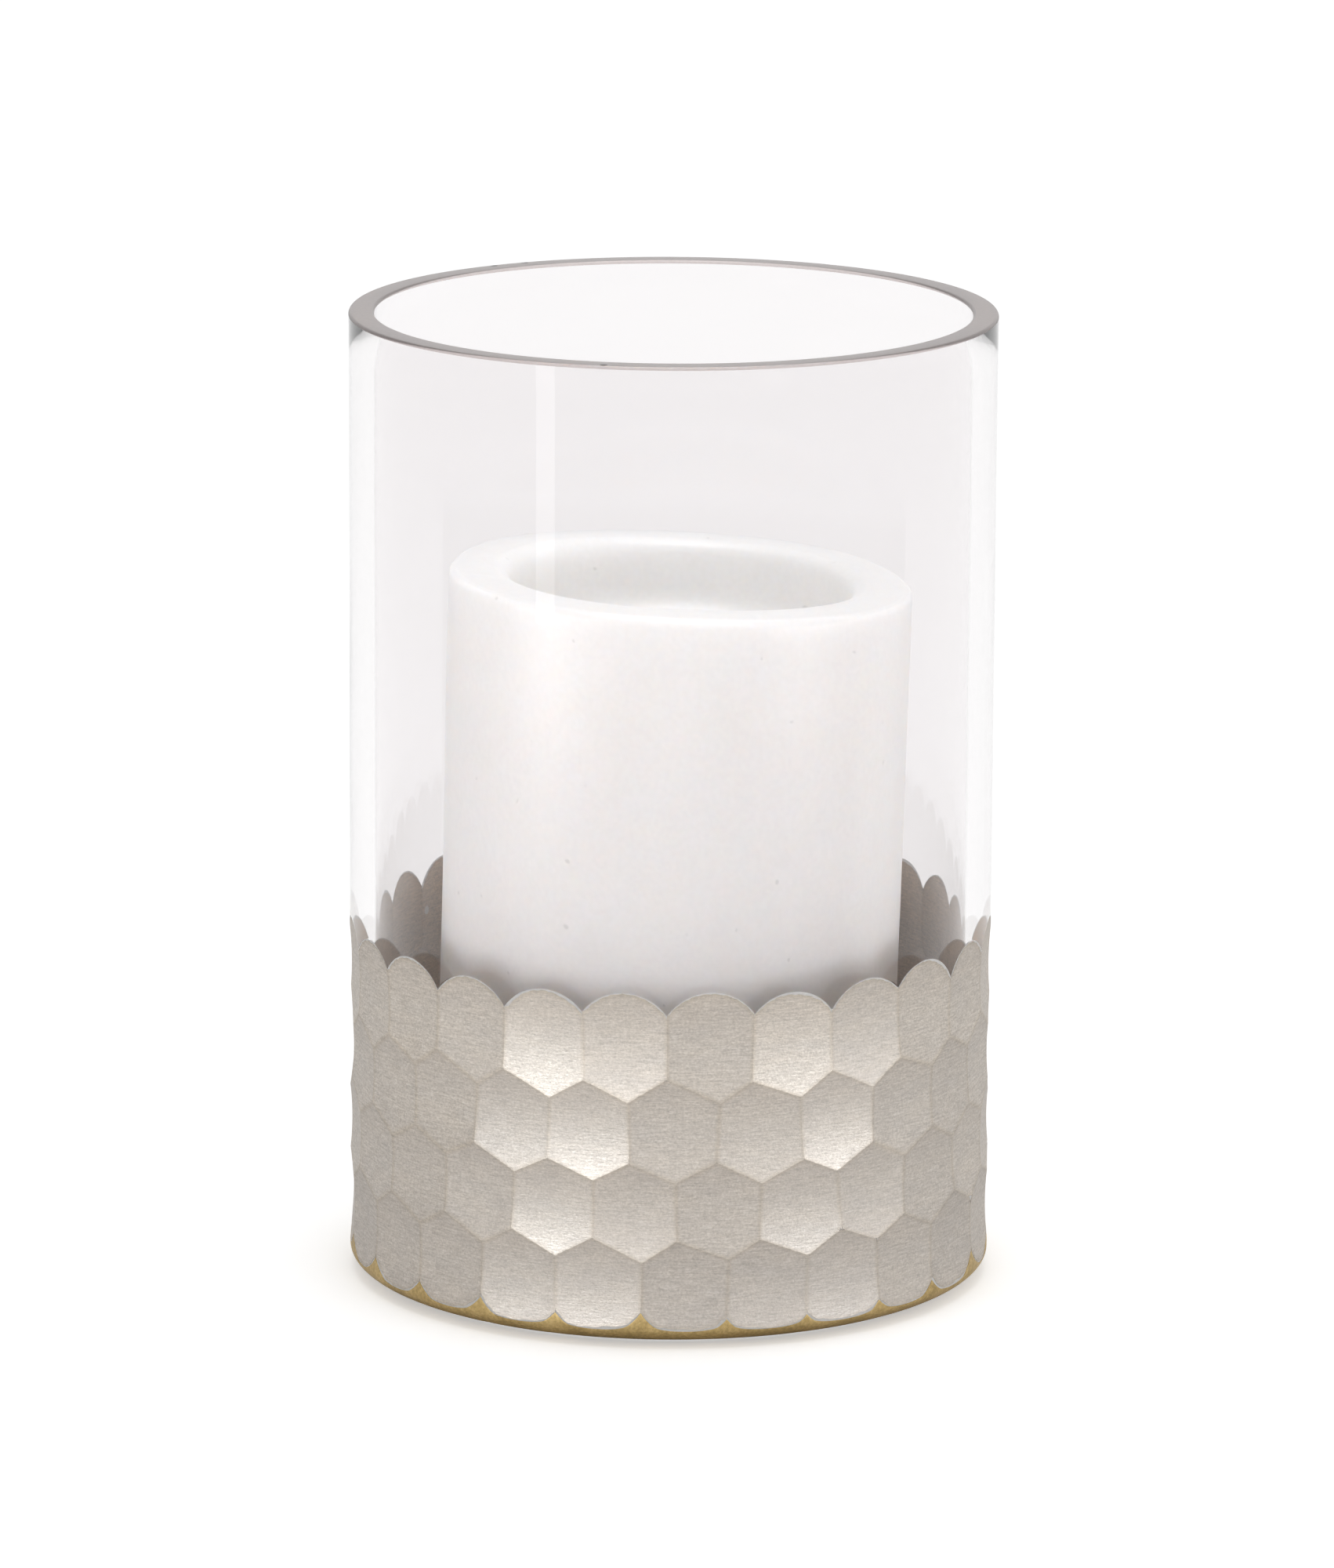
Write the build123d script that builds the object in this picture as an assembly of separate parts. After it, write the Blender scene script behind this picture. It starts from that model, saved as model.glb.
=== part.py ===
from build123d import *

import os
from math import asin, degrees, radians, sqrt, tan

# Hurricane candle holder: a straight clear glass cylinder with a thick base,
# whose lower part is ground into four staggered rows of shallow concave facets.
# The facets carry a thin silver film, the uncut heel below them carries gold
# lacquer, and a dished pillar candle stands loose inside.
# Millimetres, +Z up. The origin is the centre of the foot, on the table.
# The front is -Y, and angles about the axis are counted from +X.

# ---- driving dimensions ----
GLASS_RADIUS = 50.8
GLASS_HEIGHT = 154.0
WALL = 4.0
FLOOR_TOP = 10.5            # top of the thick glass floor
HEEL_WIDTH = 8.0            # the heel is a quarter ellipse, this far in from the wall
HEEL_HEIGHT = 3.5           # and this tall
RIM_FLAT = 3.0              # flat left between the two softened rim edges
INNER_CORNER = 5.0          # rounding between the glass floor and the bore
FOOT_INNER_RADIUS = 38.0    # inner edge of the flat ring that the glass rests on
PUNT_DEPTH = 1.6            # hollow under the base
PUNT_SLOPE = 2.0            # width of the slope from the resting ring to the hollow

FACETS_PER_ROW = 24
FACET_PITCH = 360.0 / FACETS_PER_ROW
# height of the row's centre, depth of the cut, grinding wheel radius, angle of
# one facet's centre past the front of the glass
FACET_ROWS = [
    (47.10, 0.70, 58.5, 7.2),
    (34.80, 0.76, 47.0, 0.8),
    (21.90, 0.69, 47.0, 9.0),
    (9.50, 0.68, 47.0, 2.5),
]
NEIGHBOUR_REACH = 1.3       # facets nearer than this many pitches can meet
WHEEL_CLEARANCE = 1.2       # how far each cutter stands outside the glass
CUTTER_WIDTH = 20.0
SECTOR_HALF_HEIGHT = 12.0   # more than half a facet's height

FILM = 0.15                 # silver film, flush in the facets
LACQUER = 0.15              # gold lacquer, flush with the glass outside
LACQUER_FOOT_GAP = 0.3      # bare glass between the lacquer and the table
LACQUER_TOP = 5.2           # just above the points between the lowest facets
UNDERSIDE_RADIUS = 35.5

CANDLE_RADIUS = 36.5
CANDLE_HEIGHT = 101.8       # on its axis, from the glass floor to the top edge
CANDLE_OFFSET = -1.1        # its base stands this far from the middle, along X
CANDLE_LEAN = 1.4           # degrees towards +X
CANDLE_TOP_TILT = 1.4       # further slope of the top, which was cut off square
CANDLE_EDGE = 1.0           # rounding of the candle's outer edges
POOL_RADIUS = 27.0          # melted hollow in the top
POOL_DEPTH = 11.5
POOL_CORNER = 5.0
WICK_RADIUS = 1.0
WICK_ABOVE_POOL = 5.0
SUSTAINER_RADIUS = 9.5      # tin tab that holds the wick's foot
SUSTAINER_THICKNESS = 0.6
SUSTAINER_NECK_RADIUS = 1.8
SUSTAINER_NECK_HEIGHT = 3.2
WICK_FIT = 0.02             # radial play of the wick in its hole in the wax

FRONT = -90.0               # angle of the front of the glass
SPARE = 10.0                # how far a tool shape runs past the piece that it cuts

os.makedirs("parts", exist_ok=True)


def revolve_outline(outline):
    """Solid of revolution about Z from a closed outline in the XZ plane."""
    return revolve(Plane.XZ * make_face(outline), Axis.Z)


def heel_arc_angle(height, inset=0.0):
    """Ellipse angle, in degrees, where the heel moved in by inset has a height."""
    return degrees(asin((HEEL_HEIGHT - height) / (HEEL_HEIGHT - inset)))


# ---- glass ----
def glass_blank():
    """The cylinder before grinding: heel, rim, bore, floor and hollow base."""
    rim_round = (WALL - RIM_FLAT) / 2
    bore = GLASS_RADIUS - WALL
    foot = GLASS_RADIUS - HEEL_WIDTH
    heel = EllipticalCenterArc((foot, HEEL_HEIGHT), HEEL_WIDTH, HEEL_HEIGHT, -90, arc_size=90)
    rim_outside = CenterArc(
        (GLASS_RADIUS - rim_round, GLASS_HEIGHT - rim_round), rim_round, 0, 90)
    rim_inside = CenterArc(
        (bore + rim_round, GLASS_HEIGHT - rim_round), rim_round, 90, 90)
    corner = CenterArc(
        (bore - INNER_CORNER, FLOOR_TOP + INNER_CORNER), INNER_CORNER, 0, -90)
    outline = [
        Line((0, PUNT_DEPTH), (FOOT_INNER_RADIUS - PUNT_SLOPE, PUNT_DEPTH)),
        Line((FOOT_INNER_RADIUS - PUNT_SLOPE, PUNT_DEPTH), (FOOT_INNER_RADIUS, 0)),
        Line((FOOT_INNER_RADIUS, 0), heel @ 0),
        heel,
        Line(heel @ 1, rim_outside @ 0),
        rim_outside,
        Line(rim_outside @ 1, rim_inside @ 0),
        rim_inside,
        Line(rim_inside @ 1, corner @ 0),
        corner,
        Line(corner @ 1, (0, FLOOR_TOP)),
        Line((0, FLOOR_TOP), (0, PUNT_DEPTH)),
    ]
    return revolve_outline(outline)


def facet_cutter(row, angle, inset=0.0):
    """Grinding wheel's lens-shaped bite: flat across, concave in height.

    inset makes it shallower by that much, as the film leaves it.
    """
    height, depth, wheel, _ = FACET_ROWS[row]
    wheel_axis = GLASS_RADIUS - depth + wheel
    radius = wheel - inset
    back = GLASS_RADIUS + WHEEL_CLEARANCE
    reach = sqrt(radius * radius - (wheel_axis - back) ** 2)
    bite = ThreePointArc(
        (back, height + reach), (wheel_axis - radius, height), (back, height - reach))
    face = Plane.XZ * make_face([bite, Line(bite @ 1, bite @ 0)])
    return Rot(0, 0, angle) * extrude(face, CUTTER_WIDTH / 2, both=True)


def facet_angle(row, index):
    """Angle of a facet's centre about the axis."""
    return FRONT + FACET_ROWS[row][3] + index * FACET_PITCH


def row_cutters(row):
    """The cutters of one whole row."""
    return [facet_cutter(row, facet_angle(row, index)) for index in range(FACETS_PER_ROW)]


def neighbours(row, angle):
    """The facets above and below that can meet this one, as (row, angle) pairs."""
    near = []
    for other in (row - 1, row + 1):
        if not 0 <= other < len(FACET_ROWS):
            continue
        for index in range(FACETS_PER_ROW):
            gap = (facet_angle(other, index) - angle + 180) % 360 - 180
            if abs(gap) < NEIGHBOUR_REACH * FACET_PITCH:
                near.append((other, angle + gap))
    return near


def film_patch(blank, row):
    """Silver film in the first facet of a row, bounded by the ridges round it.

    It loses only the air of the row above, and the whole bite of the row below,
    so where two rows meet, the film of the lower one is kept whole.
    """
    angle = facet_angle(row, 0)
    half = radians(FACET_PITCH / 2)
    far = 2 * GLASS_RADIUS
    wedge = Polyline(
        (0, 0), (far, -far * tan(half)), (far, far * tan(half)), close=True)
    row_height = FACET_ROWS[row][0]
    sector = Pos(0, 0, row_height) * extrude(make_face(wedge), SECTOR_HALF_HEIGHT, both=True)
    patch = blank & (Rot(0, 0, angle) * sector) & facet_cutter(row, angle)
    patch -= facet_cutter(row, angle, FILM)
    for other, other_angle in neighbours(row, angle):
        inset = FILM if other < row else 0.0
        patch -= facet_cutter(other, other_angle, inset)
    return patch


def film_row(blank, row):
    """The same patch, once for each facet of the row."""
    patch = film_patch(blank, row)
    return [Rot(0, 0, index * FACET_PITCH) * patch for index in range(FACETS_PER_ROW)]


def heel_lacquer_band():
    """Full ring of lacquer on the heel, before the facets cut its top edge."""
    foot = GLASS_RADIUS - HEEL_WIDTH
    top = LACQUER_TOP
    low = LACQUER_FOOT_GAP
    width = HEEL_WIDTH - LACQUER
    height = HEEL_HEIGHT - LACQUER
    outer_angle = heel_arc_angle(low)
    inner_angle = heel_arc_angle(low, LACQUER)
    outer = EllipticalCenterArc(
        (foot, HEEL_HEIGHT), HEEL_WIDTH, HEEL_HEIGHT, -outer_angle, arc_size=outer_angle)
    inner = EllipticalCenterArc(
        (foot, HEEL_HEIGHT), width, height, -inner_angle, arc_size=inner_angle)
    outline = [
        outer,
        Line(outer @ 1, (GLASS_RADIUS, top)),
        Line((GLASS_RADIUS, top), (GLASS_RADIUS - LACQUER, top)),
        Line((GLASS_RADIUS - LACQUER, top), inner @ 1),
        inner,
        Line(inner @ 0, outer @ 0),
    ]
    return revolve_outline(outline)


# ---- candle ----
def lean(shape):
    """Tip a candle piece, built upright on the axis, to where it stands."""
    return Pos(CANDLE_OFFSET, 0, FLOOR_TOP) * Rot(0, CANDLE_LEAN, 0) * shape


def axis_bar(radius, length):
    """Round bar up the candle's leaning axis, cut level at the glass floor."""
    bar = lean(Pos(0, 0, -SPARE) * extrude(Circle(radius), length + SPARE))
    ground = Pos(0, 0, FLOOR_TOP - 2 * SPARE) * extrude(Circle(radius + SPARE), 2 * SPARE)
    return bar - ground


def at_candle_top(shape):
    """Tilt a shape, built about the origin, into the plane of the candle's top."""
    return lean(Pos(0, 0, CANDLE_HEIGHT) * Rot(0, CANDLE_TOP_TILT, 0) * shape)


def candle_blank():
    """Leaning round bar with a sloping top, a flat base and rounded edges."""
    bar = axis_bar(CANDLE_RADIUS, CANDLE_HEIGHT + SPARE)
    bar -= at_candle_top(extrude(Circle(CANDLE_RADIUS + SPARE), 2 * SPARE))
    rims = bar.edges().filter_by(GeomType.ELLIPSE)
    return fillet(rims, CANDLE_EDGE)


def burn_pool():
    """Melted hollow: a flat floor with a generous corner up to a straight side."""
    outline = [
        Line((0, -POOL_DEPTH), (POOL_RADIUS - POOL_CORNER, -POOL_DEPTH)),
        CenterArc(
            (POOL_RADIUS - POOL_CORNER, POOL_CORNER - POOL_DEPTH), POOL_CORNER, -90, 90),
        Line((POOL_RADIUS, POOL_CORNER - POOL_DEPTH), (POOL_RADIUS, SPARE)),
        Line((POOL_RADIUS, SPARE), (0, SPARE)),
        Line((0, SPARE), (0, -POOL_DEPTH)),
    ]
    return at_candle_top(revolve_outline(outline))


def sustainer_blank():
    """Tin tab with a crimped neck, before the wick goes through it."""
    tab = extrude(Circle(SUSTAINER_RADIUS), SUSTAINER_THICKNESS)
    neck = extrude(Circle(SUSTAINER_NECK_RADIUS), SUSTAINER_NECK_HEIGHT)
    return Pos(CANDLE_OFFSET, 0, FLOOR_TOP) * (tab + neck)


blank = glass_blank()
band = heel_lacquer_band()
lowest_row = len(FACET_ROWS) - 1
glass = blank - band
for row in range(len(FACET_ROWS)):
    glass -= row_cutters(row)
lacquer = band - row_cutters(lowest_row)

films = [film_row(blank, row) for row in range(len(FACET_ROWS))]

underside = Pos(0, 0, PUNT_DEPTH - LACQUER) * extrude(Circle(UNDERSIDE_RADIUS), LACQUER)

wick_length = CANDLE_HEIGHT - POOL_DEPTH + WICK_ABOVE_POOL
wick = axis_bar(WICK_RADIUS, wick_length)
wick_hole = axis_bar(WICK_RADIUS + WICK_FIT, CANDLE_HEIGHT)
wax = candle_blank() - burn_pool() - sustainer_blank() - wick_hole
sustainer = sustainer_blank() - wick_hole

export_step(glass, "parts/glass_cylinder.step")
for row, patches in enumerate(films):
    export_step(Compound(children=patches), f"parts/silver_film_row_{row + 1}.step")
export_step(lacquer, "parts/gold_heel_lacquer.step")
export_step(underside, "parts/gold_underside_lacquer.step")
export_step(wax, "parts/candle_wax.step")
export_step(wick, "parts/candle_wick.step")
export_step(sustainer, "parts/wick_sustainer.step")
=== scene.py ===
import math

import bpy
import numpy as np
from mathutils import Matrix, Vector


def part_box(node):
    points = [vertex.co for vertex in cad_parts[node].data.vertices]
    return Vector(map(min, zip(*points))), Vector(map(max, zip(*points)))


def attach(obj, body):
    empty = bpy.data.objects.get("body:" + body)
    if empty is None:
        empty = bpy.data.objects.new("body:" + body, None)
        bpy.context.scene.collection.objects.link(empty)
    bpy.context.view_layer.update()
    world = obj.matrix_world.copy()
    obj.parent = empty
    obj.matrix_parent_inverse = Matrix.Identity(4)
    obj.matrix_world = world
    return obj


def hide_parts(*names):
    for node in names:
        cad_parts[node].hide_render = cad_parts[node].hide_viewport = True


# Hurricane candle holder: the looks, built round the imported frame.
# Sizes are millimetres and angles are radians unless a name says otherwise.
# A place on the glass is (angle, height): the angle is counted from the front,
# -Y, and grows towards +X. Blender gets metres, by MM.

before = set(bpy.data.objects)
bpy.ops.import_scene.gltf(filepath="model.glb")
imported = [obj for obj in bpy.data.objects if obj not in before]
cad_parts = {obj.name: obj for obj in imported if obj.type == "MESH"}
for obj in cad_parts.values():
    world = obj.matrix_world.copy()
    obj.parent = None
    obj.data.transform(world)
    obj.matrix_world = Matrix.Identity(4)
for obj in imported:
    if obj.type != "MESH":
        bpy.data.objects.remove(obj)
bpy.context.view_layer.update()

MM = 0.001
TURN = 2 * math.pi


def deg(degrees):
    """Degrees, as radians."""
    return math.radians(degrees)


# ---- sizes, from the frame and from the object's own dimensions ----
GLASS_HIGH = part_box("glass_cylinder")[1]
RADIUS = GLASS_HIGH[0] / MM
HEIGHT = GLASS_HIGH[2] / MM
WALL = 4.0
BORE = RADIUS - WALL
RIM_ROUND = 0.5
RIM_SPECKS = [deg(-12.2), deg(-144.6), deg(-151.2)]     # dark seeds in the rim
HEEL_WIDTH = 8.0
HEEL_HEIGHT = 3.5
FOOT = RADIUS - HEEL_WIDTH
FLOOR_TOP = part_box("candle_wax")[0][2] / MM
INNER_CORNER = 5.0
PUNT_RADIUS = 38.0
PUNT_SLOPE = 2.0
PUNT_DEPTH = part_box("gold_underside_lacquer")[1][2] / MM

FACETS_PER_ROW = 24
PITCH = TURN / FACETS_PER_ROW
# centre height, depth of cut, grinding wheel radius, angle of one facet's centre
FACET_ROWS = [
    (47.10, 0.70, 58.5, deg(7.2)),
    (34.80, 0.76, 47.0, deg(0.8)),
    (21.90, 0.69, 47.0, deg(9.0)),
    (9.50, 0.68, 47.0, deg(2.5)),
]
ROW_CLIMB = 2.4             # the rows are this much higher at the sides, twice at the back
HAND_ANGLE = deg(0.45)      # how far the hand-cut facets stray from the pattern
HAND_HEIGHT = 0.32
HAND_DEPTH = 0.022
RIDGE_ROUND = 0.030         # softness of the ridges between facets
HALF_FACET = 7.0            # half the height of a facet
ROW_PAINTED_SHADE = [0.55, 0.35, 0.30, 0.0]      # painted shade by row: how light each row's film is made, from 0 to 0.6, lower rows darker
FACET_TONE = 0.4            # how much lighter a single facet can be

PINHOLE = (deg(-122), 51.5)     # a bare spot in the film

FILM = 0.16                 # film and lacquer, thick enough to be solids
COVER = 0.05                # the glass lies this far under the film's outside
LACQUER_LOW = 0.35

CANDLE_RADIUS = 36.5
CANDLE_HEIGHT = 101.8
CANDLE_OFFSET = -1.1
CANDLE_LEAN = deg(1.4)
CANDLE_TOP_TILT = deg(1.4)
POOL_RADIUS = 27.0
POOL_DEPTH = 11.5
POOL_CORNER = 5.0
WICK_HOLE = 1.05
WICK_ABOVE_POOL = 5.0
TAB_RADIUS = 9.5
TAB_THICKNESS = 0.6
NECK_RADIUS = 1.8
NECK_HEIGHT = 3.2


# ---- meshes ----
def lathe_faces(rings, columns, closed_rings=False, first=0):
    """Quads between rings of points that each go once round."""
    faces = []
    pairs = rings if closed_rings else rings - 1
    for ring in range(pairs):
        below = first + ring * columns
        above = first + (ring + 1) % rings * columns
        for column in range(columns):
            after = (column + 1) % columns
            faces.append((below + column, below + after, above + after, above + column))
    return faces


def cap_faces(rings, columns):
    """Triangles that close the first and last rings, with the two points after all rings."""
    faces = []
    last = (rings - 1) * columns
    hub = rings * columns
    for column in range(columns):
        after = (column + 1) % columns
        faces.append((hub, after, column))
        faces.append((hub + 1, last + column, last + after))
    return faces


def polar_points(radius, angle, height):
    """Points in millimetres from arrays of radius, angle and height."""
    radius, angle, height = np.broadcast_arrays(radius, angle, height)
    return np.stack([radius * np.sin(angle), -radius * np.cos(angle), height], axis=-1)


def make_piece(name, points, faces, materials, body, sharp=deg(35)):
    """A smooth-shaded mesh object that rides on a body."""
    mesh = bpy.data.meshes.new(name)
    mesh.from_pydata((np.asarray(points) * MM).reshape(-1, 3).tolist(), [], faces)
    for material in materials:
        mesh.materials.append(material)
    mesh.shade_smooth()
    mesh.set_sharp_from_angle(angle=sharp)
    mesh.update()
    piece = bpy.data.objects.new(name, mesh)
    bpy.context.scene.collection.objects.link(piece)
    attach(piece, body)
    return piece


# ---- the ground facets ----
def make_facets():
    """Angle, height, depth and wheel radius of each facet, cut by hand."""
    rng = np.random.default_rng(11)
    facets = []
    for height, depth, wheel, phase in FACET_ROWS:
        for index in range(FACETS_PER_ROW):
            stray = np.clip(rng.normal(size=3), -1.6, 1.6)
            angle = phase + index * PITCH
            climb = ROW_CLIMB * (1 - math.cos(angle))
            facets.append((
                angle + HAND_ANGLE * stray[0],
                height + climb + HAND_HEIGHT * stray[1],
                depth + HAND_DEPTH * stray[2],
                wheel))
    return np.array(facets)


FACETS = make_facets()


def cut_radius(facet, angle, height):
    """Radius of one facet's ground surface: flat across, concave in height."""
    centre, middle, depth, wheel = facet
    flat = RADIUS - depth + (height - middle) ** 2 / (2 * wheel)
    off = np.clip(np.abs((angle - centre + math.pi) % TURN - math.pi), 0, deg(70))
    return flat / np.cos(off)


def blank_radius(height):
    """Radius of the uncut glass, which is rounded at the heel."""
    drop = np.clip(1 - np.asarray(height, float) / HEEL_HEIGHT, 0, 1)
    return FOOT + HEEL_WIDTH * np.sqrt(1 - drop * drop)


def ground_radius(angle, height):
    """Radius of the ground glass outside, over all facets."""
    lowest = blank_radius(height) + 0 * angle
    for facet in FACETS:
        lowest = np.minimum(lowest, cut_radius(facet, angle, height))
    return lowest


def smooth_min(a, b, width):
    """Lower of two radii, rounded where they cross."""
    near = np.clip(width - np.abs(a - b), 0, None) / width
    return np.minimum(a, b) - near * near * width / 4


def neighbours(number):
    """Numbers of the facets that can meet this one."""
    row = number // FACETS_PER_ROW
    centre = FACETS[number][0]
    near = []
    for other, facet in enumerate(FACETS):
        if other == number or abs(other // FACETS_PER_ROW - row) > 1:
            continue
        gap = abs((facet[0] - centre + math.pi) % TURN - math.pi)
        if gap < 1.35 * PITCH:
            near.append(other)
    return near


def cell_reach(number, near, direction):
    """How far the facet reaches from its centre each way, and what stops it.

    What stops it is a position in near, or len(near) for the uncut glass.
    """
    centre, middle = FACETS[number][:2]

    def surfaces(reach):
        """Radius of this facet so far from its centre, and of all that can stop it."""
        angle = centre + reach * np.cos(direction) / RADIUS
        height = middle + reach * np.sin(direction)
        others = [cut_radius(FACETS[other], angle, height) for other in near]
        others.append(blank_radius(height))
        return cut_radius(FACETS[number], angle, height), np.array(others)

    low = np.zeros_like(direction)
    high = np.full_like(direction, 14.0)
    for _ in range(34):
        mid = (low + high) / 2
        own, others = surfaces(mid)
        inside = own < others.min(axis=0)
        low = np.where(inside, mid, low)
        high = np.where(inside, high, mid)
    return low, surfaces(high)[1].argmin(axis=0)


def cell_outline(number, near, spacing=0.62, directions=1440):
    """Outline of one facet as directions, reaches and the stop after each point."""
    direction = np.arange(directions) * TURN / directions
    reach, stop = cell_reach(number, near, direction)
    corners = np.flatnonzero(stop != np.roll(stop, 1))
    chosen = []
    step = np.hypot(
        np.diff(reach, append=reach[:1]), reach * TURN / directions)
    for start, end in zip(corners, np.roll(corners, -1)):
        span = (end - start) % directions
        ids = (start + np.arange(span)) % directions
        length = np.concatenate([[0.0], np.cumsum(step[ids])])
        count = max(1, int(round(length[-1] / spacing)))
        marks = np.searchsorted(length, np.arange(count) * length[-1] / count)
        chosen.extend(ids[np.minimum(marks, span - 1)])
    chosen = np.array(chosen)
    return direction[chosen], reach[chosen], stop[chosen]


def edge_gap(number, direction):
    """Bare ground glass left between the film and the uncut glass, uneven by hand."""
    seed = number * 1.7
    wave = 0.5 + 0.5 * np.sin(2 * direction + seed) * np.cos(direction * 3 - seed * 0.6)
    return 0.16 + 0.34 * wave ** 2 + 0.07 * np.sin(61 * direction + seed)


def chance_of(number):
    """A steady chance from 0 to 1 for each facet."""
    return math.sin(number * 12.9898) * 43758.5453 % 1.0


def film_patch(number):
    """Film in one facet: points, faces, which faces touch the glass, and marks.

    The marks say of each point how near it is to the ridges round the facet, from
    0 to 1, how high it is in the facet, from -1 to 1, which the film turns into
    painted shade, and the facet's tone: painted shade by row, darker in the lower
    rows, plus the facet's own random tone.
    """
    near = neighbours(number)
    direction, reach, stop = cell_outline(number, near)
    reach = reach - np.where(stop == len(near), edge_gap(number, direction), 0.0)
    centre, middle = FACETS[number][:2]
    columns = len(direction)

    ridge = []
    rise = []

    def ring(share, inset):
        """Points at a share of the way from the facet's centre to its outline."""
        ridge.extend([share] * columns)
        rise.extend(share * reach * np.sin(direction) / HALF_FACET)
        angle = centre + share * reach * np.cos(direction) / RADIUS
        height = middle + share * reach * np.sin(direction)
        radius = cut_radius(FACETS[number], angle, height)
        for other in near:
            radius = smooth_min(
                radius, cut_radius(FACETS[other], angle, height), RIDGE_ROUND)
        return polar_points(radius - inset, angle, height)

    outside = (1.0, 0.985, 0.965, 0.9, 0.78, 0.64, 0.5, 0.36, 0.22, 0.09)
    inside = (1.0, 0.97, 0.8, 0.55, 0.3, 0.1)
    rings = [ring(share, 0.0) for share in reversed(outside)]
    rings += [ring(share, FILM) for share in inside]
    top = RADIUS - FACETS[number][2]
    hubs = polar_points(np.array([top, top - FILM]), centre, middle)
    points = np.concatenate(rings + [hubs])
    faces = lathe_faces(len(rings), columns)
    # painted shade: the row part darkens the lower rows; the facet part is random tone
    facet_tone_and_shade = ROW_PAINTED_SHADE[number // FACETS_PER_ROW] + FACET_TONE * chance_of(number)
    tone_and_shade = [facet_tone_and_shade] * len(points)
    marks = {"ridge": ridge + [0.0, 0.0], "rise": rise + [0.0, 0.0], "tone_and_shade": tone_and_shade}
    inner = [face // columns >= len(outside) for face in range(len(faces))]
    faces += cap_faces(len(rings), columns)
    inner += [False, True] * columns
    return points, faces, inner, marks


def film_row(row, materials):
    """All of a row's film patches as one piece."""
    points = []
    faces = []
    inner = []
    marks = {"ridge": [], "rise": [], "tone_and_shade": []}
    count = 0
    for index in range(FACETS_PER_ROW):
        patch_points, patch_faces, patch_inner, patch_marks = film_patch(
            row * FACETS_PER_ROW + index)
        for key, values in patch_marks.items():
            marks[key].extend(values)
        points.append(patch_points)
        inner.extend(patch_inner)
        faces.extend(tuple(corner + count for corner in face) for face in patch_faces)
        count += len(patch_points)
    piece = make_piece(
        f"film_row_{row + 1}", np.concatenate(points), faces, materials,
        "hurricane", deg(50))
    piece.data.polygons.foreach_set("material_index", np.array(inner, dtype=np.int32))
    for key, values in marks.items():
        layer = piece.data.attributes.new(key, "FLOAT", "POINT")
        layer.data.foreach_set("value", np.array(values, dtype=np.float32))
    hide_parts(f"silver_film_row_{row + 1}")
    return piece


# ---- glass ----
def scallop_top(angle):
    """Height where the top row's grinding ends, at each angle."""
    best = np.full(np.shape(angle), -1.0)
    for centre, middle, depth, wheel in FACETS[:FACETS_PER_ROW]:
        off = (angle - centre + math.pi) % TURN - math.pi
        room = 2 * wheel * (RADIUS * np.cos(off) - RADIUS + depth)
        best = np.maximum(best, middle + np.sqrt(np.clip(room, 0, None)) - 99 * (room < 0))
    return best


def scallop_bottom(angle):
    """Height on the heel where the lowest row's grinding begins."""
    lowest = FACETS[-FACETS_PER_ROW:]
    low = np.full(np.shape(angle), 0.5)
    high = FACET_ROWS[-1][0] - 2.0 + ROW_CLIMB * (1 - np.cos(angle))
    for _ in range(30):
        mid = (low + high) / 2
        cut = np.min([cut_radius(facet, angle, mid) for facet in lowest], axis=0)
        uncut = cut >= blank_radius(mid)
        low = np.where(uncut, mid, low)
        high = np.where(uncut, high, mid)
    return high


def scallop_columns(curve, lowest, per_facet):
    """Angles round the glass, with one exactly at each point between scallops."""
    fine = np.linspace(0, TURN, 9600, endpoint=False)
    height = curve(fine) * (1 if lowest else -1)
    peaks = (height > np.roll(height, 1)) & (height >= np.roll(height, -1))
    corners = fine[peaks]
    corners = np.append(corners, corners[0] + TURN)
    columns = [
        start + (end - start) * np.arange(per_facet) / per_facet
        for start, end in zip(corners[:-1], corners[1:])
    ]
    return np.concatenate(columns)


def arc(centre, radius, start, end, count):
    """Points (radius, height) along an arc, from start to end in degrees."""
    along = np.radians(np.linspace(start, end, count))
    return [(centre[0] + radius * np.cos(a), centre[1] + radius * np.sin(a)) for a in along]


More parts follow.
